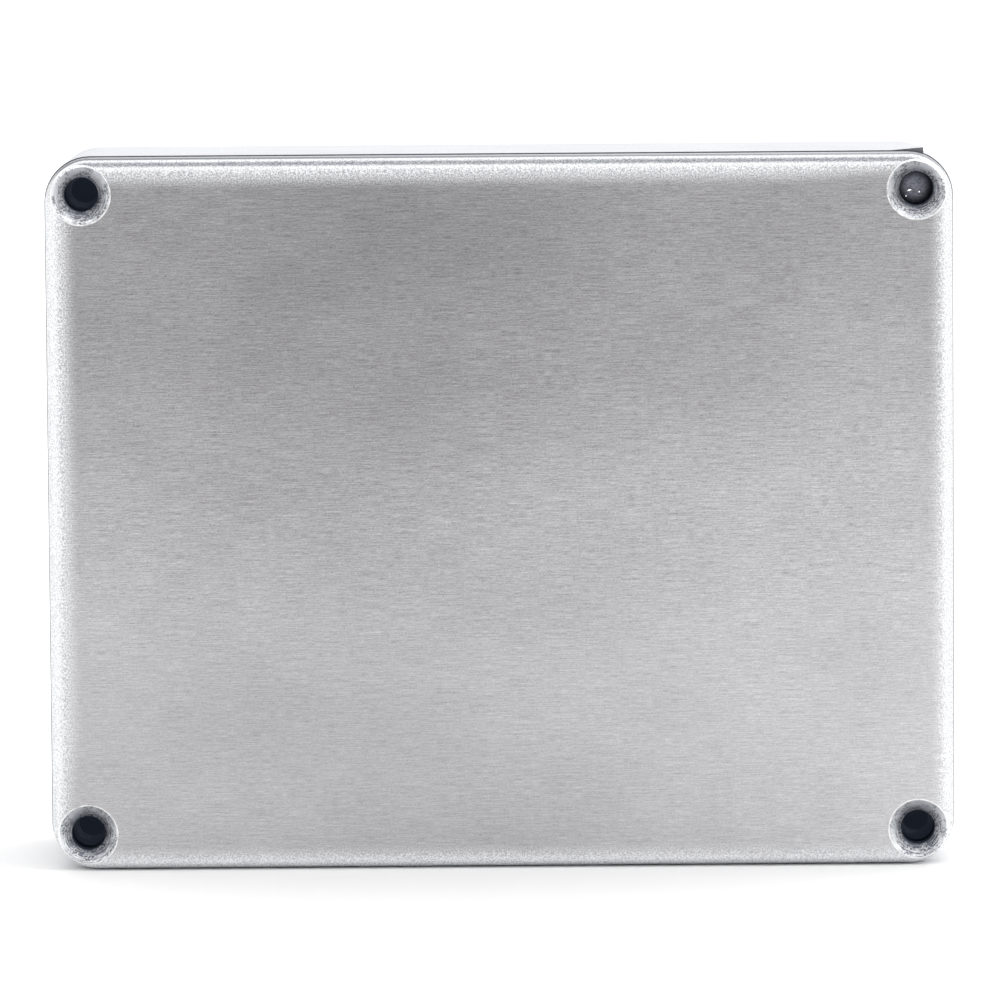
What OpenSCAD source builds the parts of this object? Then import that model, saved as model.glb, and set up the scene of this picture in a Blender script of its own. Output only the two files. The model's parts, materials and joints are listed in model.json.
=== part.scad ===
// Die cast aluminium box: a drafted tray with four screw posts and a flat lid with a locating lip.
// It stands on its long side: X along the box, -Y out of the lid's face, Z up from the surface it stands on.
// Each casting is drawn lying on its closed end, with z along the depth, and is then stood up.

/* [Box] */
// Length over the seam
box_length = 119; // [100:0.5:180]
// Width over the seam
box_width = 94; // [80:0.5:140]
// Depth over both castings
box_depth = 34; // [30:0.5:80]
// Plan radius of the four corners at the seam
corner_r = 6; // [4:0.25:8]
// Draft of every cast wall, in degrees
draft = 1; // [0.5:0.1:2]
// Break on the two edges that meet at the seam
edge_break = 0.25; // [0.1:0.05:0.5]

/* [Tray] */
// Thickness of the side walls at the mouth
wall = 2.2; // [1.8:0.1:3]
// Thickness of the closed end
floor_t = 2.4; // [2:0.1:4]
// Rounding of the closed end's outer edge
back_edge_r = 2.5; // [1:0.25:4]
// Rounding where the inside walls and posts meet the closed end
floor_fillet = 1.5; // [0.5:0.1:1.7]

/* [Screw posts] */
// Distance from the outside of the walls to each screw's axis
screw_inset = 4.9; // [4.6:0.05:6]
// Radius of a post at the mouth
post_r = 4.4; // [3.9:0.1:5]
// Rounding where a post blends into the walls
post_fillet = 2.2; // [2:0.1:3]
// Bore of the relief at the mouth of a post
relief_d = 4.5; // [4.3:0.1:5]
// Depth of the relief above the thread
relief_depth = 7; // [3:0.5:9]
// Bore of the thread
thread_d = 3.4; // [3:0.1:3.8]
// Depth of full thread below the relief
thread_depth = 12; // [8:0.5:13]
// Depth of the top right post's hole, which is cored and not drilled
cored_depth = 2; // [1:0.25:4]

/* [Lid] */
// How far the lid's edge stands in from the tray's
lid_set_in = 0.15; // [0:0.05:0.4]
// Height of the lid's rim
lid_rim_t = 4; // [3.7:0.1:6]
// Thickness of the lid's plate
lid_skin = 2.4; // [1.8:0.1:3.2]
// Rounding of the face's outer edge
lid_edge_r = 2.5; // [1:0.25:3]
// Bore of the screw holes
screw_hole_d = 4.5; // [4.3:0.1:5]
// Countersink at the face
countersink_d = 7.7; // [7:0.1:8.4]
// Depth of the straight step above the countersink's cone
countersink_step = 0.4; // [0.1:0.1:0.8]
// Height of the locating lip below the seam
lip_h = 1.5; // [1:0.1:3]
// Thickness of the locating lip
lip_t = 1.6; // [1:0.1:2]
// Gap between the lip and the tray's inside
lip_clearance = 0.3; // [0.15:0.05:0.6]

/* [Casting marks] */
// Diameter of the ejector pin marks
pin_mark_d = 5; // [3:0.5:8]
// Depth of the ejector pin marks
pin_mark_depth = 0.3; // [0.1:0.05:0.5]
// Length of the trimmed gate stub at the top right corner
stub_length = 5.25; // [3:0.25:8]
// How far the stub runs back from the seam
stub_run = 5.5; // [2:0.5:10]
// Height that the stub stands above the wall where it was trimmed
stub_rise = 0.35; // [0.1:0.05:0.5]

/* [Hidden] */
$fn = 96;
// steps in a rounded edge, in a fillet's plan and round a post
EDGE_STEPS = 16;
FILLET_STEPS = 6;
POST_STEPS = 12;
FLOOR_STEPS = 5;
// how far a cutter runs past the surface that it opens
PAST = 1;
DRILL_POINT = 118;
COUNTERSINK_ANGLE = 90;

body_h = box_depth - lid_rim_t;
// centres of the plan's corner arcs
corner_x = box_length / 2 - corner_r;
corner_y = box_width / 2 - corner_r;
// the screws' axes
screw_x = box_length / 2 - screw_inset;
screw_y = box_width / 2 - screw_inset;
// the tray's inside at the mouth
inside_x = box_length / 2 - wall;
inside_y = box_width / 2 - wall;
SCREWS = [[1, 1], [-1, 1], [-1, -1], [1, -1]];
// the share of the gate stub that lies along the straight wall
GATE_SHARE = 0.6;
// the least radius that a fillet shrinks to when its outline is offset inwards
LEAST_R = 0.1;

function unit(v) = v / norm(v);

// the arc that rounds corner b of the outline a, b, c
function rounded(a, b, c, r, steps) =
    let (u = unit(a - b), v = unit(c - b), half = acos(u * v) / 2)
    let (centre = b + unit(u + v) * r / sin(half))
    let (from = b + u * r / tan(half) - centre, to = b + v * r / tan(half) - centre)
    let (start = atan2(from.y, from.x))
    let (sweep = (atan2(to.y, to.x) - start + 540) % 360 - 180)
    [for (i = [0:steps]) centre + r * [cos(start + sweep * i / steps), sin(start + sweep * i / steps)]];

function arc(centre, r, from, to, steps) =
    [for (i = [0:steps]) let (a = from + (to - from) * i / steps) centre + r * [cos(a), sin(a)]];

// One corner of the tray's inside, offset inwards by inset: up the side wall, round the post, along the top wall.
// hx and hy are the half sizes, and px and py the post's axis.
function corner_outline(hx, hy, px, py, inset) =
    let (r = post_r + inset, f = max(post_fillet - inset, LEAST_R))
    let (wx = hx - inset - f, wy = hy - inset - f)
    let (side = [wx, py - sqrt(pow(r + f, 2) - pow(wx - px, 2))])
    let (top = [px - sqrt(pow(r + f, 2) - pow(wy - py, 2)), wy])
    let (a = atan2(py - side.y, px - side.x), b = atan2(py - top.y, px - top.x))
    concat(
        arc(side, f, 0, a, FILLET_STEPS),
        arc([px, py], r, a - 180, b - 180, POST_STEPS),
        arc(top, f, b, 90, FILLET_STEPS)
    );

// The tray's inside in plan, offset inwards: the corner outline turned into each quadrant in order.
function mirrored(points, sx, sy) =
    let (turned = [for (p = points) [p.x * sx, p.y * sy]], n = len(points))
    sx * sy > 0 ? turned : [for (i = [n - 1:-1:0]) turned[i]];
function inside_outline(inset) =
    let (corner = corner_outline(inside_x, inside_y, screw_x, screw_y, inset))
    [for (s = SCREWS) each mirrored(corner, s.x, s.y)];

// Skins a stack of outlines with the same number of points and closes each end from its centre.
module loft(outlines, heights) {
    n = len(outlines[0]);
    last = len(outlines) - 1;
    points = [for (k = [0:last]) each [for (p = outlines[k]) [p.x, p.y, heights[k]]]];
    sides = [for (k = [0:last - 1], i = [0:n - 1]) let (j = (i + 1) % n)
        each [[k * n + i, (k + 1) * n + j, k * n + j], [k * n + i, (k + 1) * n + i, (k + 1) * n + j]]];
    low = len(points);
    caps = [for (i = [0:n - 1]) let (j = (i + 1) % n)
        each [[low, i, j], [low + 1, last * n + j, last * n + i]]];
    polyhedron(concat(points, [[0, 0, heights[0]], [0, 0, heights[last]]]), concat(sides, caps));
}

// Sweeps a profile of (distance from the corner's centre, height) round the box's plan.
module swept(profile, height) {
    for (k = [0:3]) {
        along = k % 2 == 0 ? corner_y : corner_x;
        out = k % 2 == 0 ? corner_x : corner_y;
        rotate([0, 0, 90 * k]) {
            translate([out, along, 0]) rotate_extrude(angle = 90) polygon(profile);
            translate([out, along, 0]) rotate([90, 0, 0]) linear_extrude(2 * along) polygon(profile);
        }
    }
    translate([-corner_x, -corner_y, 0]) cube([2 * corner_x, 2 * corner_y, height]);
}

module stood_up() {
    translate([0, box_depth / 2, box_width / 2]) rotate([90, 0, 0]) children();
}

module at_screws() {
    for (s = SCREWS) translate([s.x * screw_x, s.y * screw_y, 0]) children();
}

module pin_marks(spread_x, spread_y) {
    for (x = [-1, 1], y = [-1, 1])
        translate([x * spread_x, y * spread_y, 0]) cylinder(d = pin_mark_d, h = pin_mark_depth + PAST);
}

// The tray's outside: drafted walls, a rounded closed end and a broken edge at the mouth.
module body_shell() {
    end_r = corner_r - body_h * tan(draft);
    end = [end_r, 0];
    mouth = [corner_r, body_h];
    profile = concat(
        [[0, 0]],
        rounded([0, 0], end, mouth, back_edge_r, EDGE_STEPS),
        [[corner_r - edge_break * tan(draft), body_h - edge_break], [corner_r - edge_break, body_h], [0, body_h]]
    );
    swept(profile, body_h);
}

// The hollow, with drafted walls and posts, and a fillet at the closed end.
module body_hollow() {
    lean = (body_h - floor_t - floor_fillet) * tan(draft);
    fillet_angles = [for (i = [0:FLOOR_STEPS]) 90 * (FLOOR_STEPS - i) / FLOOR_STEPS];
    insets = concat([for (a = fillet_angles) lean + floor_fillet * (1 - cos(a))], [-PAST * tan(draft)]);
    heights = concat([for (a = fillet_angles) floor_t + floor_fillet * (1 - sin(a))], [body_h + PAST]);
    loft([for (d = insets) inside_outline(d)], heights);
}

// A blind hole with a relief at its mouth, a tapped length and a drill point.
module tapped_hole() {
    bottom = body_h - relief_depth - thread_depth;
    translate([0, 0, body_h - relief_depth]) cylinder(d = relief_d, h = relief_depth + PAST);
    translate([0, 0, bottom]) cylinder(d = thread_d, h = thread_depth + PAST);
    translate([0, 0, bottom - thread_d / 2 / tan(DRILL_POINT / 2)])
        cylinder(r1 = 0, r2 = thread_d / 2, h = thread_d / 2 / tan(DRILL_POINT / 2));
}

// The end of the gate, trimmed straight where the corner turns away. It follows the wall back from the seam.
module gate_stub() {
    start = corner_x - stub_length * GATE_SHARE;
    translate([start, box_width / 2, body_h]) rotate([-draft, 0, 0]) translate([0, 0, -stub_run])
        linear_extrude(stub_run - edge_break) polygon([
            [0, -wall / 2],
            [stub_length, -wall / 2],
            [stub_length, stub_rise],
            [0, -stub_rise / 4]
        ]);
}

module box_body() {
    color("#c9ccd1") stood_up() difference() {
        union() {
            body_shell();
            gate_stub();
        }
        body_hollow();
        for (i = [1:3]) translate([SCREWS[i].x * screw_x, SCREWS[i].y * screw_y, 0]) tapped_hole();
        translate([screw_x, screw_y, body_h - cored_depth]) cylinder(d = relief_d, h = cored_depth + PAST);
        translate([0, 0, floor_t - pin_mark_depth]) pin_marks(screw_x - 4 * pin_mark_d, screw_y - 3 * pin_mark_d);
    }
}

// A screw hole with its countersink: a straight step, the cone and the clearance bore.
module countersunk_hole() {
    cone_h = (countersink_d - screw_hole_d) / 2 / tan(COUNTERSINK_ANGLE / 2);
    cone_top = lid_rim_t - countersink_step;
    translate([0, 0, -PAST]) cylinder(d = screw_hole_d, h = lid_rim_t + 2 * PAST);
    translate([0, 0, cone_top - cone_h]) cylinder(d1 = screw_hole_d, d2 = countersink_d, h = cone_h);
    translate([0, 0, cone_top]) cylinder(d = countersink_d, h = countersink_step + PAST);
}

module lid_plate() {
    foot_r = corner_r - lid_set_in;
    foot = [foot_r, 0];
    edge = [foot_r - lid_rim_t * tan(draft), lid_rim_t];
    profile = concat(
        [[0, 0], [foot_r - edge_break, 0], [foot_r - edge_break * tan(draft), edge_break]],
        rounded(foot, edge, [0, lid_rim_t], lid_edge_r, EDGE_STEPS),
        [[0, lid_rim_t]]
    );
    swept(profile, lid_rim_t);
}

module lid() {
    pocket = lid_rim_t - lid_skin;
    color("#b9bcc3") stood_up() translate([0, 0, body_h]) difference() {
        union() {
            lid_plate();
            translate([0, 0, -lip_h]) linear_extrude(lip_h + pocket / 2)
                polygon(inside_outline(lip_clearance));
        }
        translate([0, 0, -lip_h - PAST]) linear_extrude(lip_h + pocket + PAST)
            polygon(inside_outline(lip_clearance + lip_t));
        at_screws() countersunk_hole();
        translate([0, 0, pocket - PAST]) pin_marks(screw_x - 4 * pin_mark_d, screw_y - 3 * pin_mark_d);
    }
}

box_body();
lid();
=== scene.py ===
"""Looks of a die cast aluminium box.

A blasted tray, a brushed lid, the threads in its posts and the studio that it stands in.
"""

import json
import math

import bmesh
import bpy
from mathutils import Matrix, Vector


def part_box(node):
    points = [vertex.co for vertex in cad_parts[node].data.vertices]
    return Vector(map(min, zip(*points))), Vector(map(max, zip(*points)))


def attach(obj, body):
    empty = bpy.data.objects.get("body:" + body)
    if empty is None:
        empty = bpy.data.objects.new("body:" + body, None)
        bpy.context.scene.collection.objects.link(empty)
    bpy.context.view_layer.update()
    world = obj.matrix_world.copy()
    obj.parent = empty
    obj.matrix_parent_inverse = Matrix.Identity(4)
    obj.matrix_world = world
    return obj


bl_info = {
    "name": "Die Cast Box",
    "version": (1, 0, 0),
    "blender": (4, 5, 0),
    "location": "View3D > Sidebar > Die Cast Box",
    "description": "Finishes a die cast aluminium box and lights it",
    "category": "Object",
}

MM = 0.001
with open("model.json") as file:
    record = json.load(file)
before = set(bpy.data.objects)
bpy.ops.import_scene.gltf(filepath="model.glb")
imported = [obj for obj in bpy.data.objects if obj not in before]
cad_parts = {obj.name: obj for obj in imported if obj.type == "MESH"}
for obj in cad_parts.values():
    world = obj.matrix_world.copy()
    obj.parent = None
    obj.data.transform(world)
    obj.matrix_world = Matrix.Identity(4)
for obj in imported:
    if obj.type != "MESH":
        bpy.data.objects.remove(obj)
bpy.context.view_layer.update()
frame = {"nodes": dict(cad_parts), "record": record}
TRAY_LOW, TRAY_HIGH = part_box("box_body")

# Sizes of the two castings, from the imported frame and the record's mounts.
MOUNTS = {mount["name"]: mount for mount in frame["record"]["mounts"]}
SCREWS = MOUNTS["lid_screws"]
SCREW_X = SCREWS["dims"]["spacing_x_mm"] / 2 * MM
SCREW_Z = SCREWS["dims"]["spacing_y_mm"] / 2 * MM
HOLE_R = SCREWS["dims"]["hole_r_mm"] * MM
THREADS = [mount for mount in frame["record"]["mounts"] if mount["kind"] == "threaded_hole"]
MIDDLE_Z = SCREWS["pos_m"][2]
FACE_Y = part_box("lid")[0].y
SEAM_Y = TRAY_LOW.y
HALF_X = TRAY_HIGH.x
HALF_Z = MIDDLE_Z
CORNER_R = 6 * MM
COUNTERSINK_R = 3.85 * MM
CORED_DEPTH = 2 * MM
BORES_END_Y = TRAY_HIGH.y - 5 * MM
CLOSED_END_Y = TRAY_HIGH.y - 3 * MM
SEAM_EDGE = 0.3 * MM

# Marks and painted reflections on the lid's rounded rim, as distances out from the straight core of the
# box.
RIM_START = 1.7 * MM
RIM_FULL = 4.6 * MM
CREST = 4.75 * MM
BROAD_LINE = 5.05 * MM
FINE_LINE = 5.72 * MM

# Real sizes of patterns on the metal.
RING = 0.13 * MM
TEAR = 0.25 * MM
PORE = 0.3 * MM
HIGHLIGHT_BREAK = 0.8 * MM
DIRT_PATCH = 0.9 * MM
CHATTER_PATCH = 1.3 * MM
RING_BREAK = 2 * MM
STRAY_SCRATCH = 5 * MM
BELT_CLOUD = (26 * MM, 26 * MM, 13 * MM)
FLOW_CLOUD = 16 * MM
TAP_MARK = 0.15 * MM
CHIP_MARK = 0.1 * MM

# Colours that go with the ones that a user may change.
BLACK = "#000000"
WHITE = "#ffffff"
RIM_GRAIN = "#f6f7f8"
PAINTED_REFLECTION_LINE = "#70737a"
TEAR_PIT = "#464a52"
TEAR_CREST = "#f7f8fa"
SKIN_PIT = "#a3a4aa"
SKIN_GRAIN = "#c9cace"
SKIN_CLOUD = "#a6a7ad"
STUB_DIRT_AND_SHADE = "#56575c"
CORED_EDGE_SHADE = "#23262f"
CORED_MIDDLE = "#9a9da8"
THREAD_SHADE = "#2b303c"
CHIP_DULL = "#d9dbe0"
CARD = "#fafafa"

# How sharply each finish mirrors the room, and how metallic the oxide skin down a bore is.
FACE_ROUGHNESS = 0.36
CONE_ROUGHNESS = 0.3
BLASTED_ROUGHNESS = 0.5
THREAD_ROUGHNESS = 0.4
CHIP_ROUGHNESS = 0.16
CARD_ROUGHNESS = 0.9
BORE_METALLIC = 0.2

# Most of a noise lies between these two values.
NOISE_LOW = 0.35
NOISE_HIGH = 0.65

# The room's left and right as shares of its brightness, and the lamp's direction and size.
LEFT_SHARE = 0.68
RIGHT_SHARE = 1.3
LAMP_WAY = Vector((0.2, -0.93, 0.3)).normalized()
LAMP_OUTER = math.cos(math.radians(8))
LAMP_INNER = math.cos(math.radians(5))

# The floor's half length, and where the camera looks, off the middle of the lid's face.
FLOOR_REACH = 6.0
AIM = Vector((-0.13 * MM, 0.0, 1.79 * MM))

# Height of a thread's ridge as a share of its pitch.
RIDGE_SHARE = 0.3

# Thickness, curl and lean of a chip of swarf, and how far its middle stands off the hole's bottom.
CHIP_THICKNESS = 0.08
CHIP_CURL = 0.1
CHIP_LEAN = Matrix.Rotation(math.radians(6), 4, "Z") @ Matrix.Rotation(math.radians(-12), 4, "X")
CHIP_LIFT = 0.12 * MM

# Settings that many nodes share.
SMOOTH = {"interpolation_type": "SMOOTHSTEP"}
COLOURS = {"data_type": "RGBA"}
SHARES = {"data_type": "FLOAT"}


def linear(code):
    """A colour in sRGB hex as linear RGBA."""
    parts = [int(code[i : i + 2], 16) / 255 for i in (1, 3, 5)]
    return (*[c / 12.92 if c <= 0.04045 else ((c + 0.055) / 1.055) ** 2.4 for c in parts], 1.0)


def add(tree, kind, inputs=None, **settings):
    """Adds a node with its settings and inputs.

    Each input is a value, another node's output, or a node, which stands for its first output.
    """
    node = tree.nodes.new(kind)
    for name, value in settings.items():
        setattr(node, name, value)
    for key, value in (inputs or {}).items():
        if isinstance(value, bpy.types.Node):
            value = next(output for output in value.outputs if output.enabled)
        if isinstance(value, bpy.types.NodeSocket):
            tree.links.new(value, node.inputs[key])
        else:
            node.inputs[key].default_value = value
    return node


def new_material(name):
    """A material with an empty tree, and its output node."""
    material = bpy.data.materials.new(name)
    material.use_nodes = True
    material.node_tree.nodes.clear()
    return material, material.node_tree, add(material.node_tree, "ShaderNodeOutputMaterial")


def give_material(piece, material):
    piece.data.materials.clear()
    piece.data.materials.append(material)


class BoxFinish(bpy.types.PropertyGroup):
    """Colours and grain of the castings."""

    brushed: bpy.props.StringProperty(
        name="Brushed face", description="Colour of the brushed face", default="#b4b3b5"
    )
    blasted: bpy.props.StringProperty(
        name="Blasted metal", description="Colour of the blasted metal", default="#e2e3e6"
    )
    pit: bpy.props.StringProperty(
        name="Pits", description="Colour at the bottom of a pit", default="#c4c5ca"
    )
    turned: bpy.props.StringProperty(
        name="Countersinks", description="Colour of the turned cones", default="#f3f4f7"
    )
    # the tool's marks, and the painted shade in the countersinks
    chatter_and_shade: bpy.props.StringProperty(
        name="Chatter", description="Colour of the tool's marks", default="#646973"
    )
    # dirt and painted shade at the seam
    crevice: bpy.props.StringProperty(
        name="Seam", description="Colour of the edges at the seam", default="#47484d"
    )
    glow: bpy.props.StringProperty(
        name="Bore light", description="Light left deep in the bores", default="#171b22"
    )
    # painted shade: the dark bluish colour given to metal down the holes
    hole: bpy.props.StringProperty(
        name="Holes", description="Colour of metal down a hole", default="#363c49"
    )
    scratch: bpy.props.FloatProperty(
        name="Scratch",
        description="Width of one brush scratch",
        default=0.1 * MM,
        subtype="DISTANCE",
        unit="LENGTH",
    )
    grit: bpy.props.FloatProperty(
        name="Grit",
        description="Size of a blasting pit",
        default=0.2 * MM,
        subtype="DISTANCE",
        unit="LENGTH",
    )
    pitch: bpy.props.FloatProperty(
        name="Pitch",
        description="Pitch of the screw threads",
        default=0.7 * MM,
        subtype="DISTANCE",
        unit="LENGTH",
    )


class BoxStudio(bpy.types.PropertyGroup):
    """Camera and lights."""

    distance: bpy.props.FloatProperty(
        name="Distance",
        description="From the lid's face to the camera",
        default=1.1,
        subtype="DISTANCE",
        unit="LENGTH",
    )
    elevation: bpy.props.FloatProperty(
        name="Elevation",
        description="Camera's height over the lid's normal",
        default=math.radians(6),
        subtype="ANGLE",
    )
    roll: bpy.props.FloatProperty(
        name="Roll",
        description="Turn of the camera about its view",
        default=math.radians(0.43),
        subtype="ANGLE",
    )
    lens: bpy.props.FloatProperty(
        name="Lens", description="Focal length in millimetres", default=302.4
    )
    zenith: bpy.props.FloatProperty(
        name="Zenith", description="Brightness of the room overhead", default=1.6
    )
    horizon: bpy.props.FloatProperty(
        name="Horizon", description="Brightness of the room's walls", default=1.02
    )
    front: bpy.props.FloatProperty(
        name="Front", description="Brightness behind the camera", default=0.3
    )
    lamp: bpy.props.FloatProperty(
        name="Lamp", description="Brightness of the lamp beside the camera", default=7.0
    )


def centred_point(tree):
    """Object coordinates with the middle of the lid as their origin."""
    place = add(tree, "ShaderNodeTexCoord").outputs["Object"]
    return add(tree, "ShaderNodeMapping", {0: place, 1: (0.0, 0.0, -MIDDLE_Z)}).outputs[0]


def plan_distance(tree, point):
    """How far a point lies out from the box's straight core, which is the corner radius at its edge."""
    apart = add(tree, "ShaderNodeVectorMath", {0: point}, operation="ABSOLUTE")
    core = (HALF_X - CORNER_R, 0.0, HALF_Z - CORNER_R)
    past = add(tree, "ShaderNodeVectorMath", {0: apart, 1: core}, operation="SUBTRACT")
    past = add(tree, "ShaderNodeVectorMath", {0: past, 1: (0.0, 0.0, 0.0)}, operation="MAXIMUM")
    flat = add(tree, "ShaderNodeVectorMath", {0: past, 1: (1.0, 0.0, 1.0)}, operation="MULTIPLY")
    return add(tree, "ShaderNodeVectorMath", {0: flat}, operation="LENGTH").outputs["Value"]


def from_screw_axis(tree, point):
    """A point's place in plan from the axis of the nearest screw hole, and how far that is."""
    side = add(tree, "ShaderNodeVectorMath", {0: point}, operation="SIGN")
    axis = add(tree, "ShaderNodeVectorMath", {0: side, 1: (SCREW_X, 0.0, SCREW_Z)}, operation="MULTIPLY")
    off = add(tree, "ShaderNodeVectorMath", {0: point, 1: axis}, operation="SUBTRACT")
    flat = add(tree, "ShaderNodeVectorMath", {0: off, 1: (1.0, 0.0, 1.0)}, operation="MULTIPLY")
    length = add(tree, "ShaderNodeVectorMath", {0: flat}, operation="LENGTH")
    return flat.outputs[0], length.outputs["Value"]


def streak_layer(tree, point, length, width, turn):
    """Brush marks of a real length and width, turned a few degrees in the face's plane."""
    turned = add(tree, "ShaderNodeMapping", {0: point, 2: (0.0, math.radians(turn), 0.0)})
    scaled = add(tree, "ShaderNodeMapping", {0: turned, 3: (1 / length, 1.0, 1 / width)})
    return add(tree, "ShaderNodeTexNoise", {0: scaled, 2: 1.0, 3: 1.0, 4: 0.5})


def brush_marks(tree, point, finish):
    """The linished face's marks, each layer at its own slight angle, and the middle layer alone.

    One scratch is drawn a little wider than a belt's real grit cuts, so that it shows.
    """
    width = finish.scratch
    specks = streak_layer(tree, point, 2.6 * width, width, 0.0)
    scratches = streak_layer(tree, point, 11 * width, width, 2.5)
    strokes = streak_layer(tree, point, 50 * width, 1.5 * width, 0.6)
    fine = add(tree, "ShaderNodeMix", {0: 0.5, 2: specks, 3: scratches}, **SHARES)
    return add(tree, "ShaderNodeMix", {0: 0.28, 2: fine, 3: strokes}, **SHARES), scratches


def grit_marks(tree, point, size, detail):
    """The pits that blasting grit leaves, as noise with a pit's size."""
    scaled = add(tree, "ShaderNodeMapping", {0: point, 3: (1 / size, 1 / size, 1 / size)})
    return add(tree, "ShaderNodeTexNoise", {0: scaled, 2: 1.0, 3: detail, 4: 0.6})


def brushed_tone_and_painted_light(tree, point, marks, strays):
    """How bright the brushed face is: a broad sweep of painted light and shade, brighter low down and to
    the right, duller high and left of middle, under the marks.
    """
    xyz = add(tree, "ShaderNodeSeparateXYZ", {0: point})
    x, z = xyz.outputs["X"], xyz.outputs["Z"]
    # painted light: brighter low down, as if lit from the floor, brighter to the right, as if lit from
    # that side, and a little brighter at the far left
    down = {0: z, 1: 0.85 * HALF_Z, 2: -0.5 * HALF_Z, 3: 0.6, 4: 1.0}
    down = add(tree, "ShaderNodeMapRange", down, **SMOOTH)
    right = add(tree, "ShaderNodeMapRange", {0: x, 1: -0.3 * HALF_X, 2: HALF_X, 3: 0.0, 4: 0.25})
    left = add(tree, "ShaderNodeMapRange", {0: x, 1: -0.3 * HALF_X, 2: -HALF_X, 3: 0.0, 4: 0.1})
    tone_and_painted_light = add(tree, "ShaderNodeMath", {0: down, 1: right}, operation="ADD")
    tone_and_painted_light = add(tree, "ShaderNodeMath", {0: tone_and_painted_light, 1: left}, operation="ADD")
    clouds = {0: point, 3: tuple(1 / size for size in BELT_CLOUD)}
    clouds = add(tree, "ShaderNodeMapping", clouds)
    clouds = add(tree, "ShaderNodeTexNoise", {0: clouds, 2: 1.0, 3: 3.0, 4: 0.5})
    patch = add(tree, "ShaderNodeMapRange", {0: clouds, 1: 0.3, 2: 0.7, 3: -0.06, 4: 0.06})
    tone_and_painted_light = add(tree, "ShaderNodeMath", {0: tone_and_painted_light, 1: patch}, operation="ADD")
    # the marks are fainter low down, where the belt was lifted off
    depth = {0: z, 1: 0.1 * HALF_Z, 2: -0.6 * HALF_Z, 3: 1.0, 4: 0.68}
    depth = add(tree, "ShaderNodeMapRange", depth, **SMOOTH)
    swing = add(tree, "ShaderNodeMapRange", {0: marks, 1: 0.3, 2: 0.7, 3: -0.52, 4: 0.52})
    swing = add(tree, "ShaderNodeMath", {0: swing, 1: depth, 2: 1.0}, operation="MULTIPLY_ADD")
    # and a few long bright ones run across them at a slant
    stray = add(tree, "ShaderNodeMapRange", {0: strays, 1: 0.64, 2: 0.78, 3: 0.0, 4: 0.26})
    swing = add(tree, "ShaderNodeMath", {0: swing, 1: stray}, operation="ADD")
    return add(tree, "ShaderNodeMath", {0: tone_and_painted_light, 1: swing}, operation="MULTIPLY")


def band(tree, distance, middle, outer, inner, most=1.0):
    """How far a mark round a given distance shows: fully within inner of its middle, not past outer."""
    off = add(tree, "ShaderNodeMath", {0: distance, 1: middle}, operation="SUBTRACT")
    off = add(tree, "ShaderNodeMath", {0: off}, operation="ABSOLUTE")
    return add(tree, "ShaderNodeMapRange", {0: off, 1: outer, 2: inner, 3: 0.0, 4: most}, **SMOOTH)


def rim_painted_reflections(tree, across, upward, out, pits):
    """Painted reflections of the room as dark lines along the top edge: a grainy broad one on the
    rounding, a fine one above the seam.
    """
    top = {0: upward, 1: HALF_Z - 4 * MM, 2: HALF_Z - MM}
    top = add(tree, "ShaderNodeMapRange", top, **SMOOTH)
    broad = band(tree, out, BROAD_LINE, 0.5 * MM, 0.08 * MM)
    grainy = add(tree, "ShaderNodeMapRange", {0: pits, 1: 0.72, 2: 0.3, 3: 0.55, 4: 1.0})
    broad = add(tree, "ShaderNodeMath", {0: broad, 1: grainy}, operation="MULTIPLY")
    fine = band(tree, out, FINE_LINE, 0.2 * MM, 0.03 * MM)
    # the fine one fades towards the right
    fade = {0: across, 1: -0.7 * HALF_X, 2: 0.8 * HALF_X, 3: 0.95, 4: 0.75}
    fade = add(tree, "ShaderNodeMapRange", fade)
    fine = add(tree, "ShaderNodeMath", {0: fine, 1: fade}, operation="MULTIPLY")
    lines = add(tree, "ShaderNodeMath", {0: broad, 1: fine}, operation="MAXIMUM")
    return add(tree, "ShaderNodeMath", {0: lines, 1: top}, operation="MULTIPLY")


def rim_reach(tree, across, upward, out, pits):
    """Where the blasted rim shows: round the edge, and a ragged way onto the face."""
    ragged = {0: pits, 1: 3.0 * MM, 2: -1.5 * MM}
    ragged = add(tree, "ShaderNodeMath", ragged, operation="MULTIPLY_ADD")
    reach = add(tree, "ShaderNodeMath", {0: out, 1: ragged}, operation="ADD")
    # less far along the right and the bottom, where the belt came closer to the edge
    right = {0: across, 1: 0.6 * HALF_X, 2: 0.92 * HALF_X}
    right = add(tree, "ShaderNodeMapRange", right, **SMOOTH)
    bottom = {0: upward, 1: -0.6 * HALF_Z, 2: -0.9 * HALF_Z}
    bottom = add(tree, "ShaderNodeMapRange", bottom, **SMOOTH)
    closer = add(tree, "ShaderNodeMath", {0: right, 1: bottom}, operation="MAXIMUM")
    reach = add(tree, "ShaderNodeMath", {0: closer, 1: -0.8 * MM, 2: reach}, operation="MULTIPLY_ADD")
    return add(tree, "ShaderNodeMapRange", {0: reach, 1: RIM_START, 2: RIM_FULL}, **SMOOTH)


def rim_colour(tree, out, pits, finish):
    """Pale grains over darker pits, with a painted highlight along the crest of the rounding."""
    grains = add(tree, "ShaderNodeMapRange", {0: pits, 1: 0.36, 2: 0.6}, **SMOOTH)
    grains = {0: grains, 6: linear(finish.pit), 7: linear(RIM_GRAIN)}
    edge = add(tree, "ShaderNodeMix", grains, **COLOURS)
    # painted highlight along the crest
    crest = band(tree, out, CREST, 0.8 * MM, 0.2 * MM, 0.25)
    return add(tree, "ShaderNodeMix", {0: crest, 6: edge, 7: linear(WHITE)}, **COLOURS)


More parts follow.
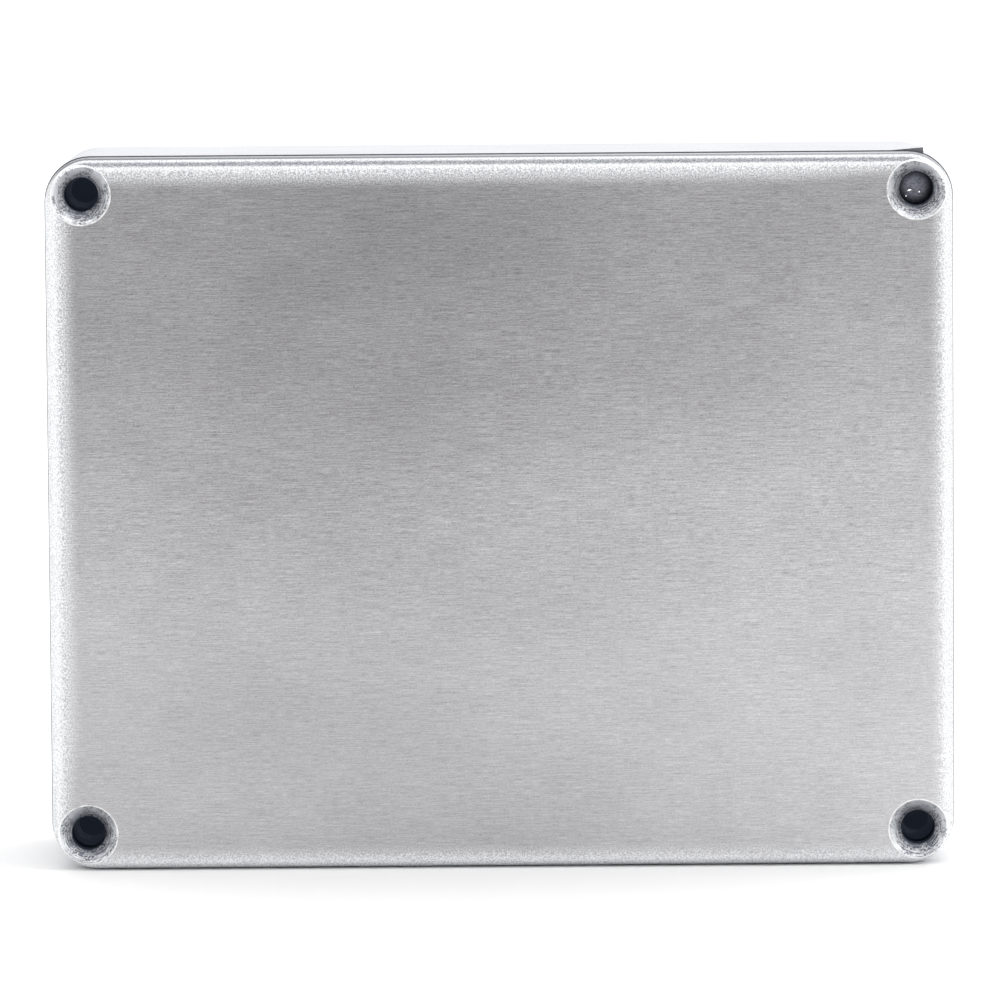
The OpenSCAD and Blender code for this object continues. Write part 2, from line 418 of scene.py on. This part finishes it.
def turned_cone(tree, point, off, from_axis, pits, finish):
    """A countersink's colour: bright turned metal with rings and tool marks, and painted shade near the
    bore and towards the bottom.
    """
    # rings a tenth of a millimetre wide, drawn out round the cone and broken every few millimetres
    ring = add(tree, "ShaderNodeMath", {0: from_axis, 1: RING}, operation="DIVIDE")
    around = add(tree, "ShaderNodeMapping", {0: point, 3: (1 / RING_BREAK,) * 3})
    around = add(tree, "ShaderNodeSeparateXYZ", {0: around}).outputs
    place = {0: around["X"], 1: ring, 2: around["Z"]}
    place = add(tree, "ShaderNodeCombineXYZ", place)
    rings = add(tree, "ShaderNodeTexNoise", {0: place, 2: 1.0, 3: 1.0, 4: 0.5})
    coarse = grit_marks(tree, point, CHATTER_PATCH, 2.0)
    mottle = add(tree, "ShaderNodeMix", {0: 0.45, 2: coarse, 3: pits}, **SHARES)
    mottle = add(tree, "ShaderNodeMix", {0: 0.4, 2: mottle, 3: rings}, **SHARES)
    # painted shade: darker near the bore and towards the bottom
    painted_shade_inward = {0: from_axis, 1: HOLE_R, 2: COUNTERSINK_R, 3: -0.11, 4: 0.09}
    painted_shade_inward = add(tree, "ShaderNodeMapRange", painted_shade_inward)
    painted_shade_low = add(tree, "ShaderNodeVectorMath", {0: off, 1: (-0.15, 0.0, 1.0)}, operation="DOT_PRODUCT")
    painted_shade_low = {0: painted_shade_low.outputs["Value"], 1: 0.11 / COUNTERSINK_R}
    painted_shade_low = add(tree, "ShaderNodeMath", painted_shade_low, operation="MULTIPLY")
    share = add(tree, "ShaderNodeMath", {0: mottle, 1: painted_shade_inward}, operation="ADD")
    share = add(tree, "ShaderNodeMath", {0: share, 1: painted_shade_low}, operation="ADD")
    share = add(tree, "ShaderNodeMapRange", {0: share, 1: 0.34, 2: 0.6}, **SMOOTH)
    # the dark end carries both the tool's marks and the painted shade
    share = {0: share, 6: linear(finish.chatter_and_shade), 7: linear(finish.turned)}
    colour = add(tree, "ShaderNodeMix", share, **COLOURS)
    # patches where the cutter tore the metal, with small dark pits and bright crests
    torn = add(tree, "ShaderNodeMapRange", {0: coarse, 1: 0.52, 2: 0.44, 3: 0.0, 4: 0.6}, **SMOOTH)
    tears = grit_marks(tree, point, TEAR, 1.0)
    tears = add(tree, "ShaderNodeMapRange", {0: tears, 1: 0.36, 2: 0.62}, **SMOOTH)
    tears = {0: tears, 6: linear(TEAR_PIT), 7: linear(TEAR_CREST)}
    tears = add(tree, "ShaderNodeMix", tears, **COLOURS)
    return add(tree, "ShaderNodeMix", {0: torn, 6: colour, 7: tears}, **COLOURS)


def brushed_aluminium(finish):
    """Die cast aluminium whose face was linished along its length after the whole lid was blasted.

    The face gets fine streaks over a painted sweep of light, the rounded rim stays pale and grainy with
    painted dark reflections along its top and a painted highlight on its crest, and the countersinks are
    bright turned metal with painted shade near their bores and a painted highlight on a thin ring at
    their edge.
    """
    material, tree, output = new_material("brushed_die_cast_aluminium")
    point = centred_point(tree)
    out = plan_distance(tree, point)
    off, from_axis = from_screw_axis(tree, point)
    across, back, upward = add(tree, "ShaderNodeSeparateXYZ", {0: point}).outputs
    pits = grit_marks(tree, point, finish.grit, 2.0)
    marks, scratches = brush_marks(tree, point, finish)
    strays = streak_layer(tree, point, STRAY_SCRATCH, finish.scratch, 3.5)
    tone_and_painted_light = brushed_tone_and_painted_light(tree, point, marks, strays)
    face = {0: linear(finish.brushed)[:3], "Scale": tone_and_painted_light.outputs[0]}
    face = add(tree, "ShaderNodeVectorMath", face, operation="SCALE")
    rim = rim_reach(tree, across, upward, out, pits)
    edge = rim_colour(tree, out, pits, finish)
    colour = add(tree, "ShaderNodeMix", {0: rim, 6: face.outputs[0], 7: edge}, **COLOURS)
    # painted reflections: dark lines along the top of the rim
    lines = rim_painted_reflections(tree, across, upward, out, pits)
    colour = add(tree, "ShaderNodeMix", {0: lines, 6: colour, 7: linear(PAINTED_REFLECTION_LINE)}, **COLOURS)
    # a painted highlight on a thin ring at the countersink's edge, and the cone inside it
    edge_highlight = band(tree, from_axis, COUNTERSINK_R + 0.06 * MM, 0.13 * MM, 0.02 * MM)
    broken = grit_marks(tree, point, HIGHLIGHT_BREAK, 1.0)
    broken = add(tree, "ShaderNodeMapRange", {0: broken, 1: 0.35, 2: 0.55, 3: 0.3, 4: 1.0})
    edge_highlight = add(tree, "ShaderNodeMath", {0: edge_highlight, 1: broken}, operation="MULTIPLY")
    sunk = {0: from_axis, 1: COUNTERSINK_R + 0.02 * MM, 2: COUNTERSINK_R - 0.02 * MM}
    sunk = add(tree, "ShaderNodeMapRange", sunk)
    cone = turned_cone(tree, point, off, from_axis, pits, finish)
    colour = add(tree, "ShaderNodeMix", {0: sunk, 6: colour, 7: cone}, **COLOURS)
    colour = add(tree, "ShaderNodeMix", {0: edge_highlight, 6: colour, 7: linear(WHITE)}, **COLOURS)
    # painted shade down the bores: the bare unworked metal there is given a dark bluish colour
    bore = add(tree, "ShaderNodeMapRange", {0: from_axis, 1: HOLE_R + 0.04 * MM, 2: HOLE_R})
    colour = add(tree, "ShaderNodeMix", {0: bore, 6: colour, 7: linear(finish.hole)}, **COLOURS)
    # light that bounces many times down the bore, more often than the light paths are followed
    glow = {0: bore, 6: linear(BLACK), 7: linear(finish.glow)}
    glow = add(tree, "ShaderNodeMix", glow, **COLOURS)
    metal = add(tree, "ShaderNodeMix", {0: bore, 2: 1.0, 3: BORE_METALLIC}, **SHARES)
    # dirt and painted shade in the seam, less of it to the left
    dirt_and_shade = {0: across, 1: -0.1 * HALF_X, 2: 0.75 * HALF_X, 3: 0.55, 4: 1.0}
    dirt_and_shade = add(tree, "ShaderNodeMapRange", dirt_and_shade, **SMOOTH)
    crevice = {0: back, 1: SEAM_Y - SEAM_EDGE, 2: SEAM_Y - 0.8 * SEAM_EDGE}
    crevice = add(tree, "ShaderNodeMapRange", crevice)
    crevice = add(tree, "ShaderNodeMath", {0: crevice, 1: dirt_and_shade}, operation="MULTIPLY")
    crevice = {0: crevice, 6: colour, 7: linear(finish.crevice)}
    colour = add(tree, "ShaderNodeMix", crevice, **COLOURS)
    height = add(tree, "ShaderNodeMix", {0: rim, 2: scratches, 3: pits}, **SHARES)
    bump = add(tree, "ShaderNodeBump", {0: 0.3, 1: 0.03 * MM, "Height": height})
    rough = {0: rim, 2: FACE_ROUGHNESS, 3: BLASTED_ROUGHNESS}
    rough = add(tree, "ShaderNodeMix", rough, **SHARES)
    rough = add(tree, "ShaderNodeMix", {0: sunk, 2: rough, 3: CONE_ROUGHNESS}, **SHARES)
    surface = {
        "Base Color": colour,
        "Metallic": metal,
        "Roughness": rough,
        "Normal": bump,
        "Emission Color": glow,
        "Emission Strength": 1.0,
    }
    shader = add(tree, "ShaderNodeBsdfPrincipled", surface)
    tree.links.new(shader.outputs[0], output.inputs["Surface"])
    return material


def cast_skin(tree, grains, flow):
    """The closed end's colour: greyer than the walls, and cloudy where the metal flowed."""
    grains = {0: grains, 6: linear(SKIN_PIT), 7: linear(SKIN_GRAIN)}
    grains = add(tree, "ShaderNodeMix", grains, **COLOURS)
    return add(tree, "ShaderNodeMix", {0: flow, 6: grains, 7: linear(SKIN_CLOUD)}, **COLOURS)


def cored_bottom(tree, point, from_axis):
    """The cored hole's bottom, paler in the middle with painted shade towards its edge, and with fine
    pores.
    """
    # painted shade: darker towards the edge, under the hole's wall
    middle = {0: from_axis, 1: HOLE_R, 2: 0.35 * HOLE_R}
    middle = add(tree, "ShaderNodeMapRange", middle, **SMOOTH)
    pores = grit_marks(tree, point, PORE, 3.0)
    pores = {0: pores, 1: NOISE_LOW, 2: NOISE_HIGH, 3: 0.55, 4: 1.0}
    pores = add(tree, "ShaderNodeMapRange", pores)
    middle = add(tree, "ShaderNodeMath", {0: middle, 1: pores}, operation="MULTIPLY")
    middle = {0: middle, 6: linear(CORED_EDGE_SHADE), 7: linear(CORED_MIDDLE)}
    return add(tree, "ShaderNodeMix", middle, **COLOURS)


def blasted_aluminium(finish):
    """Die cast aluminium blasted after casting, which leaves it pale and evenly grainy.

    The closed end keeps more of its grey cast skin. Down the screw posts, as cast or drilled, the metal
    gets
    painted shade: a dark step, and bluish metal below it.
    """
    material, tree, output = new_material("blasted_die_cast_aluminium")
    point = centred_point(tree)
    from_axis = from_screw_axis(tree, point)[1]
    back = add(tree, "ShaderNodeSeparateXYZ", {0: point}).outputs["Y"]
    pits = grit_marks(tree, point, finish.grit, 3.0)
    grains = {0: pits, 1: NOISE_LOW, 2: NOISE_HIGH}
    grains = add(tree, "ShaderNodeMapRange", grains, **SMOOTH)
    pale = {0: grains, 6: linear(finish.pit), 7: linear(finish.blasted)}
    colour = add(tree, "ShaderNodeMix", pale, **COLOURS)
    flow = grit_marks(tree, point, FLOW_CLOUD, 2.0)
    flow = {0: flow, 1: NOISE_LOW, 2: NOISE_HIGH, 3: 0.0, 4: 0.4}
    flow = add(tree, "ShaderNodeMapRange", flow)
    colour = add(tree, "ShaderNodeMix", {0: flow, 6: colour, 7: linear(finish.pit)}, **COLOURS)
    end = {0: back, 1: CLOSED_END_Y, 2: TRAY_HIGH.y - 0.5 * MM}
    end = add(tree, "ShaderNodeMapRange", end, **SMOOTH)
    skin = cast_skin(tree, grains, flow)
    colour = add(tree, "ShaderNodeMix", {0: end, 6: colour, 7: skin}, **COLOURS)
    # dirt and painted shadow in the broken edge at the mouth and on the trimmed stub
    crevice = {0: back, 1: SEAM_Y + SEAM_EDGE, 2: SEAM_Y + 0.8 * SEAM_EDGE}
    crevice = add(tree, "ShaderNodeMapRange", crevice)
    patchy = grit_marks(tree, point, DIRT_PATCH, 3.0)
    patchy = add(tree, "ShaderNodeMapRange", {0: patchy, 1: 0.38, 2: 0.6}, **SMOOTH)
    patchy = {0: patchy, 6: linear(finish.crevice), 7: linear(STUB_DIRT_AND_SHADE)}
    dirt_and_shade = add(tree, "ShaderNodeMix", patchy, **COLOURS)
    colour = add(tree, "ShaderNodeMix", {0: crevice, 6: colour, 7: dirt_and_shade}, **COLOURS)
    # inside the posts, where the cored hole is shallow and the others are deep
    cored_y = SEAM_Y + CORED_DEPTH
    shallow = {0: back, 1: cored_y + 0.2 * MM, 2: cored_y + 0.1 * MM}
    shallow = add(tree, "ShaderNodeMapRange", shallow)
    # the deep bores get the dark bluish painted shade
    bottom = {0: shallow, 6: linear(finish.hole), 7: cored_bottom(tree, point, from_axis)}
    bottom = add(tree, "ShaderNodeMix", bottom, **COLOURS)
    bore = {0: from_axis, 1: HOLE_R + 0.06 * MM, 2: HOLE_R + 0.02 * MM}
    bore = add(tree, "ShaderNodeMapRange", bore)
    # the posts stop short of the closed end, so nothing of this reaches its outside
    inside = add(tree, "ShaderNodeMapRange", {0: back, 1: BORES_END_Y, 2: BORES_END_Y - MM})
    bore = add(tree, "ShaderNodeMath", {0: bore, 1: inside}, operation="MULTIPLY")
    colour = add(tree, "ShaderNodeMix", {0: bore, 6: colour, 7: bottom}, **COLOURS)
    # a bore's dull skin, and the light that bounces many times down it
    deep = add(tree, "ShaderNodeMath", {0: 1.0, 1: shallow}, operation="SUBTRACT")
    deep = add(tree, "ShaderNodeMath", {0: bore, 1: deep}, operation="MULTIPLY")
    metal = add(tree, "ShaderNodeMix", {0: deep, 2: 1.0, 3: BORE_METALLIC}, **SHARES)
    glow = {0: deep, 6: linear(BLACK), 7: linear(finish.glow)}
    glow = add(tree, "ShaderNodeMix", glow, **COLOURS)
    bump = add(tree, "ShaderNodeBump", {0: 0.4, 1: 0.04 * MM, "Height": pits})
    surface = {
        "Base Color": colour,
        "Metallic": metal,
        "Roughness": BLASTED_ROUGHNESS,
        "Normal": bump,
        "Emission Color": glow,
        "Emission Strength": 1.0,
    }
    shader = add(tree, "ShaderNodeBsdfPrincipled", surface)
    tree.links.new(shader.outputs[0], output.inputs["Surface"])
    return material


def tapped_aluminium(finish):
    """Aluminium cut by a tap, left dull and painted dark for the shade down the bore, so that its crests
    show only faintly.
    """
    material, tree, output = new_material("tapped_aluminium")
    point = add(tree, "ShaderNodeTexCoord").outputs["Object"]
    marks = grit_marks(tree, point, TAP_MARK, 1.0)
    marks = add(tree, "ShaderNodeMapRange", {0: marks, 1: NOISE_LOW, 2: NOISE_HIGH}, **SMOOTH)
    marks = {0: marks, 6: linear(THREAD_SHADE), 7: linear(finish.hole)}
    colour = add(tree, "ShaderNodeMix", marks, **COLOURS)
    surface = {
        "Base Color": colour,
        "Metallic": 1.0,
        "Roughness": THREAD_ROUGHNESS,
        "Emission Color": linear(finish.glow),
        "Emission Strength": 1.0,
    }
    shader = add(tree, "ShaderNodeBsdfPrincipled", surface)
    tree.links.new(shader.outputs[0], output.inputs["Surface"])
    return material


def cut_aluminium():
    """Freshly cut aluminium, bright and smooth enough to glint, as on swarf."""
    material, tree, output = new_material("cut_aluminium")
    point = add(tree, "ShaderNodeTexCoord").outputs["Object"]
    marks = grit_marks(tree, point, CHIP_MARK, 1.0)
    marks = add(tree, "ShaderNodeMapRange", {0: marks, 1: NOISE_LOW, 2: NOISE_HIGH}, **SMOOTH)
    marks = {0: marks, 6: linear(CHIP_DULL), 7: linear(WHITE)}
    colour = add(tree, "ShaderNodeMix", marks, **COLOURS)
    surface = {"Base Color": colour, "Metallic": 1.0, "Roughness": CHIP_ROUGHNESS}
    shader = add(tree, "ShaderNodeBsdfPrincipled", surface)
    tree.links.new(shader.outputs[0], output.inputs["Surface"])
    return material


def white_card():
    """Matt white card, which gives only a faint soft shadow."""
    material, tree, output = new_material("white_card")
    surface = {"Base Color": linear(CARD), "Roughness": CARD_ROUGHNESS}
    shader = add(tree, "ShaderNodeBsdfPrincipled", surface)
    tree.links.new(shader.outputs[0], output.inputs["Surface"])
    return material


def thread_tree(material):
    """A tree that winds a thread's ridge inside a bore, up +Z and centred on the origin."""
    group = bpy.data.node_groups.new("thread", "GeometryNodeTree")
    for name in ("Radius", "Length", "Pitch", "Height"):
        group.interface.new_socket(name=name, in_out="INPUT", socket_type="NodeSocketFloat")
    group.interface.new_socket(name="Geometry", in_out="OUTPUT", socket_type="NodeSocketGeometry")
    sizes = add(group, "NodeGroupInput").outputs
    turns = add(group, "ShaderNodeMath", {0: sizes["Length"], 1: sizes["Pitch"]}, operation="DIVIDE")
    spiral = add(
        group,
        "GeometryNodeCurveSpiral",
        {
            "Resolution": 36,
            "Rotations": turns.outputs[0],
            "Start Radius": sizes["Radius"],
            "End Radius": sizes["Radius"],
            "Height": sizes["Length"],
        },
    )
    drop = add(group, "ShaderNodeMath", {0: sizes["Length"], 1: -0.5}, operation="MULTIPLY")
    drop = add(group, "ShaderNodeCombineXYZ", {"Z": drop.outputs[0]})
    place = {"Geometry": spiral.outputs[0], "Translation": drop.outputs[0]}
    wound = add(group, "GeometryNodeTransform", place)
    upright = add(group, "GeometryNodeSetCurveNormal", {"Curve": wound.outputs[0]}, mode="Z_UP")
    section = {"Resolution": 3, "Radius": sizes["Height"]}
    ridge = add(group, "GeometryNodeCurvePrimitiveCircle", section)
    sweep = {"Curve": upright.outputs[0], "Profile Curve": ridge.outputs[0], "Fill Caps": True}
    swept = add(group, "GeometryNodeCurveToMesh", sweep)
    real = add(group, "GeometryNodeRealizeInstances", {0: swept.outputs[0]})
    paint = {"Geometry": real.outputs[0], "Material": material}
    painted = add(group, "GeometryNodeSetMaterial", paint)
    add(group, "NodeGroupOutput", {0: painted.outputs[0]})
    return group


def baked(name, group, sizes):
    """A plain mesh piece made by a tree with the given sizes."""
    maker = bpy.data.objects.new(name, bpy.data.meshes.new(name))
    bpy.context.scene.collection.objects.link(maker)
    modifier = maker.modifiers.new("nodes", "NODES")
    modifier.node_group = group
    for item in group.interface.items_tree:
        if item.in_out == "INPUT":
            modifier[item.identifier] = sizes[item.name]
    bpy.context.view_layer.update()
    evaluated = maker.evaluated_get(bpy.context.evaluated_depsgraph_get())
    mesh = bpy.data.meshes.new_from_object(evaluated)
    if not mesh.polygons:
        raise RuntimeError(f"the tree made nothing for {name}")
    maker.modifiers.clear()
    maker.data = mesh
    return maker


class BOX_OT_tray(bpy.types.Operator):
    """Finishes the tray as blasted cast metal"""

    bl_idname = "die_cast_box.tray"
    bl_label = "Tray"

    def execute(self, context):
        give_material(frame["nodes"]["box_body"], blasted_aluminium(context.scene.box_finish))
        return {"FINISHED"}


class BOX_OT_lid(bpy.types.Operator):
    """Finishes the lid with a brushed face and a blasted rim"""

    bl_idname = "die_cast_box.lid"
    bl_label = "Lid"

    def execute(self, context):
        give_material(frame["nodes"]["lid"], brushed_aluminium(context.scene.box_finish))
        return {"FINISHED"}


class BOX_OT_threads(bpy.types.Operator):
    """Winds the threads in the drilled screw posts"""

    bl_idname = "die_cast_box.threads"
    bl_label = "Threads"

    def execute(self, context):
        finish = context.scene.box_finish
        group = thread_tree(tapped_aluminium(finish))
        upright = Matrix.Rotation(math.radians(90), 4, "X")
        for mount in THREADS:
            sizes = {
                "Radius": mount["dims"]["r_mm"] * MM,
                "Length": mount["dims"]["length_mm"] * MM,
                "Pitch": finish.pitch,
                "Height": RIDGE_SHARE * finish.pitch,
            }
            piece = baked(mount["name"], group, sizes)
            piece.data.transform(Matrix.Translation(mount["pos_m"]) @ upright)
            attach(piece, "root")
        return {"FINISHED"}


class BOX_OT_swarf(bpy.types.Operator):
    """Leaves three chips of swarf at the bottom of the undrilled hole"""

    bl_idname = "die_cast_box.swarf"
    bl_label = "Swarf"

    def execute(self, context):
        material = cut_aluminium()
        floor_y = SEAM_Y + CORED_DEPTH
        # each chip's place from the hole's axis, length, width and turn, in millimetres and degrees
        chips = (
            ((-0.68, -0.42), 1.0, 0.32, 14),
            ((0.58, -0.65), 0.42, 0.38, 60),
            ((-1.17, -1.2), 0.38, 0.34, 20),
        )
        for number, ((right, up), length, width, turn) in enumerate(chips):
            mesh = bpy.data.meshes.new(f"swarf_{number}")
            shape = bmesh.new()
            bmesh.ops.create_icosphere(shape, subdivisions=3, radius=0.5)
            for vertex in shape.verts:
                x, y, z = vertex.co
                vertex.co = Vector((x * length, y * CHIP_THICKNESS + CHIP_CURL * x**2, z * width))
            shape.to_mesh(mesh)
            shape.free()
            # flat chips that lean a little up and to the right
            turned = Matrix.Rotation(math.radians(-turn), 4, "Y")
            mesh.transform(Matrix.Scale(MM, 4) @ CHIP_LEAN @ turned)
            place = (SCREW_X + right * MM, floor_y - CHIP_LIFT, MIDDLE_Z + SCREW_Z + up * MM)
            mesh.transform(Matrix.Translation(place))
            mesh.shade_smooth()
            piece = bpy.data.objects.new(f"swarf_{number}", mesh)
            context.scene.collection.objects.link(piece)
            give_material(piece, material)
            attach(piece, "root")
        return {"FINISHED"}


class BOX_OT_stage(bpy.types.Operator):
    """Makes the floor, the white room and the camera"""

    bl_idname = "die_cast_box.stage"
    bl_label = "Stage"

    def execute(self, context):
        studio = context.scene.box_studio
        self.make_floor(context.scene)
        self.make_room(context.scene, studio)
        self.make_camera(context.scene, studio)
        return {"FINISHED"}

    def make_floor(self, scene):
        mesh = bpy.data.meshes.new("floor")
        around = ((-1, -1), (1, -1), (1, 1), (-1, 1))
        corners = [(x * FLOOR_REACH, y * FLOOR_REACH, 0) for x, y in around]
        mesh.from_pydata(corners, [], [(0, 1, 2, 3)])
        floor = bpy.data.objects.new("floor", mesh)
        scene.collection.objects.link(floor)
        give_material(floor, white_card())

    def make_room(self, scene, studio):
        """White walls, brighter overhead and to the right and dim in front, and a lamp by the camera."""
        world = bpy.data.worlds.new("white_room")
        world.use_nodes = True
        tree = world.node_tree
        tree.nodes.clear()
        way = add(tree, "ShaderNodeTexCoord").outputs["Generated"]
        parts = add(tree, "ShaderNodeSeparateXYZ", {0: way}).outputs
        up = {0: parts["Z"], 1: 0.0, 2: 0.8, 3: studio.horizon, 4: studio.zenith}
        level = add(tree, "ShaderNodeMapRange", up, **SMOOTH)
        # the sides differ only well above the floor, so that the background stays even
        side = {0: parts["X"], 1: -0.8, 2: 0.8, 3: LEFT_SHARE, 4: RIGHT_SHARE}
        side = add(tree, "ShaderNodeMapRange", side)
        high = add(tree, "ShaderNodeMapRange", {0: parts["Z"], 1: 0.05, 2: 0.5}, **SMOOTH)
        side = add(tree, "ShaderNodeMix", {0: high, 2: 1.0, 3: side}, **SHARES)
        level = add(tree, "ShaderNodeMath", {0: level, 1: side}, operation="MULTIPLY")
        ahead = add(tree, "ShaderNodeMapRange", {0: parts["Y"], 1: -0.45, 2: -0.95}, **SMOOTH)
        level = add(tree, "ShaderNodeMix", {0: ahead, 2: level, 3: studio.front}, **SHARES)
        near = {0: way, 1: LAMP_WAY}
        near = add(tree, "ShaderNodeVectorMath", near, operation="DOT_PRODUCT").outputs["Value"]
        glow = {0: near, 1: LAMP_OUTER, 2: LAMP_INNER, 3: 0.0, 4: studio.lamp}
        glow = add(tree, "ShaderNodeMapRange", glow, **SMOOTH)
        level = add(tree, "ShaderNodeMath", {0: level, 1: glow}, operation="ADD")
        shine = {"Color": linear(WHITE), "Strength": level}
        light = add(tree, "ShaderNodeBackground", shine)
        output = add(tree, "ShaderNodeOutputWorld")
        tree.links.new(light.outputs[0], output.inputs["Surface"])
        scene.world = world
        scene.view_settings.view_transform = "Standard"

    def make_camera(self, scene, studio):
        data = bpy.data.cameras.new("camera")
        data.lens = studio.lens
        data.sensor_width = 36.0
        data.clip_start = 0.05
        data.clip_end = 50.0
        camera = bpy.data.objects.new("camera", data)
        centre = Vector((0.0, FACE_Y, MIDDLE_Z))
        away = Vector((0.0, -math.cos(studio.elevation), math.sin(studio.elevation)))
        camera.location = centre + away * studio.distance
        turn = (centre + AIM - camera.location).to_track_quat("-Z", "Y").to_matrix()
        camera.rotation_euler = (turn @ Matrix.Rotation(-studio.roll, 3, "Z")).to_euler()
        scene.collection.objects.link(camera)
        scene.camera = camera


class BOX_PT_panel(bpy.types.Panel):
    """Lists the sizes, the colours and the steps"""

    bl_label = "Die Cast Box"
    bl_idname = "BOX_PT_panel"
    bl_space_type = "VIEW_3D"
    bl_region_type = "UI"
    bl_category = "Die Cast Box"

    def draw(self, context):
        for group in (context.scene.box_finish, context.scene.box_studio):
            for name in group.__annotations__:
                self.layout.prop(group, name)
        for operator in STEPS:
            self.layout.operator(operator.bl_idname)


STEPS = (BOX_OT_stage, BOX_OT_tray, BOX_OT_lid, BOX_OT_threads, BOX_OT_swarf)
CLASSES = (BoxFinish, BoxStudio, *STEPS, BOX_PT_panel)


def register():
    for cls in CLASSES:
        bpy.utils.register_class(cls)
    bpy.types.Scene.box_finish = bpy.props.PointerProperty(type=BoxFinish)
    bpy.types.Scene.box_studio = bpy.props.PointerProperty(type=BoxStudio)


def unregister():
    del bpy.types.Scene.box_studio
    del bpy.types.Scene.box_finish
    for cls in reversed(CLASSES):
        bpy.utils.unregister_class(cls)


def main():
    register()
    bpy.ops.die_cast_box.stage()
    bpy.ops.die_cast_box.tray()
    bpy.ops.die_cast_box.lid()
    bpy.ops.die_cast_box.threads()
    bpy.ops.die_cast_box.swarf()


if __name__ == "__main__":
    main()
